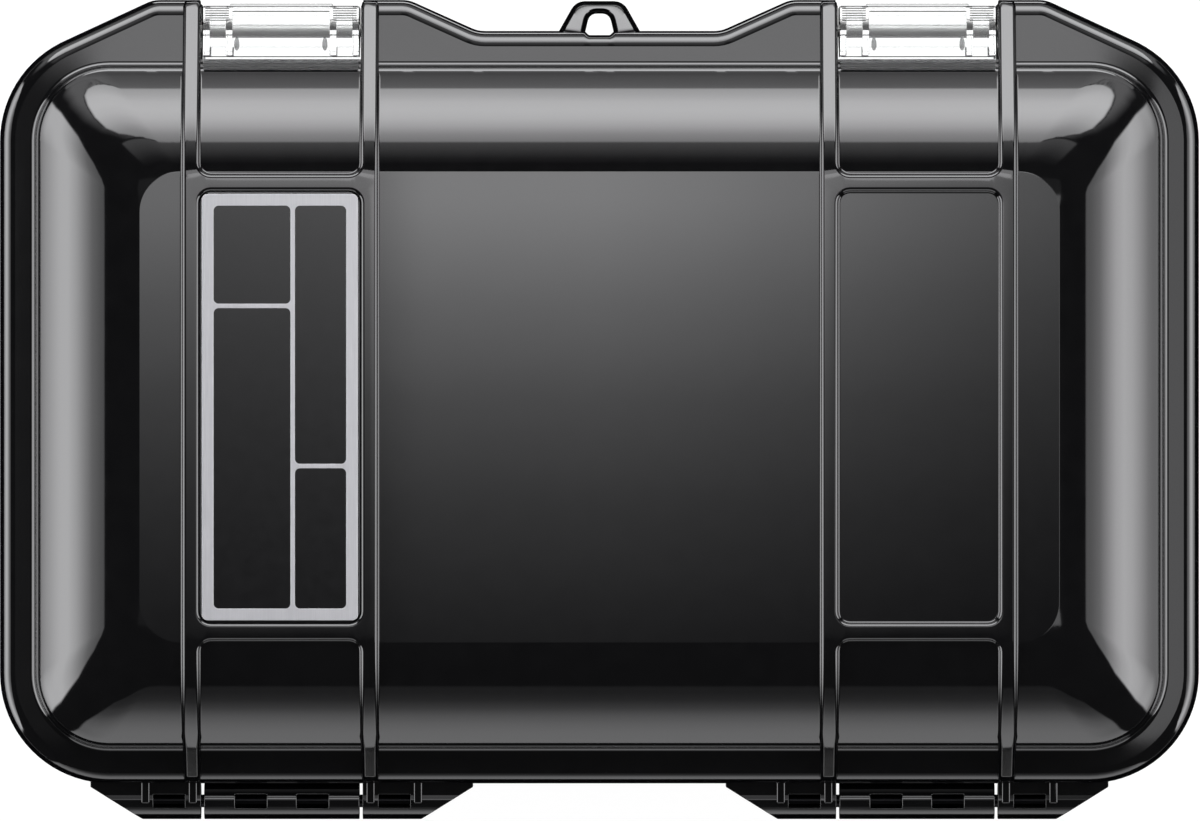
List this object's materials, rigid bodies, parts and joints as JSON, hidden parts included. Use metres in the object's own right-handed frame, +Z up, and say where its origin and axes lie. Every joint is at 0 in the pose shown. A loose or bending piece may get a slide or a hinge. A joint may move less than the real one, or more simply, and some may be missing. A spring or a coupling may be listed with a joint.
{
  "type": "waterproof hard case",
  "caption": "Small waterproof hard case: lined base, hinged domed lid, snap latches, lanyard eye, pressure valve and a nameplate.",
  "frame": {"origin": "on the ground, under the middle of the overall box", "axes": "+Z up, latches towards -Y, hinges towards +Y, +X to the right of someone who faces the latches"},
  "size_m": [0.1882, 0.1286, 0.078],
  "materials": {
    "black_plastic": "glossy, moulded",
    "black_rubber": "matt, moulded",
    "clear_plastic": "clear, moulded",
    "steel": "drawn, bare",
    "nameplate_metal": "satin",
    "nameplate_enamel": "satin, dark",
    "adhesive": "matt film",
    "valve_plastic": "satin, moulded",
    "membrane": "porous, white"
  },
  "bodies": {
    "base": {"base_shell": "black_plastic", "base_liner": "black_rubber", "latch_pin_left": "steel", "latch_pin_right": "steel", "hinge_pin_left": "steel", "hinge_pin_right": "steel", "valve_body": "valve_plastic", "valve_cap": "valve_plastic", "valve_retainer": "steel", "valve_membrane": "membrane", "valve_o_ring": "black_rubber", "valve_nut": "valve_plastic"},
    "lid": {"lid_shell": "black_plastic", "nameplate": "nameplate_metal", "nameplate_inlays": "nameplate_enamel", "nameplate_adhesive": "adhesive"},
    "latch_left": {"latch_left": "clear_plastic"},
    "latch_right": {"latch_right": "clear_plastic"}
  },
  "joints": [
    {"name": "lid_hinge", "type": "hinge", "parent": "base", "child": "lid", "pos_m": [0, 0.06148, 0.0575], "axis": [-1, 0, 0], "range_deg": [0, 105]},
    {"name": "latch_left_hinge", "type": "hinge", "parent": "base", "child": "latch_left", "pos_m": [-0.0499, -0.05978, 0.0475], "axis": [1, 0, 0], "range_deg": [0, 120]},
    {"name": "latch_right_hinge", "type": "hinge", "parent": "base", "child": "latch_right", "pos_m": [0.0499, -0.05978, 0.0475], "axis": [1, 0, 0], "range_deg": [0, 120]}
  ]
}
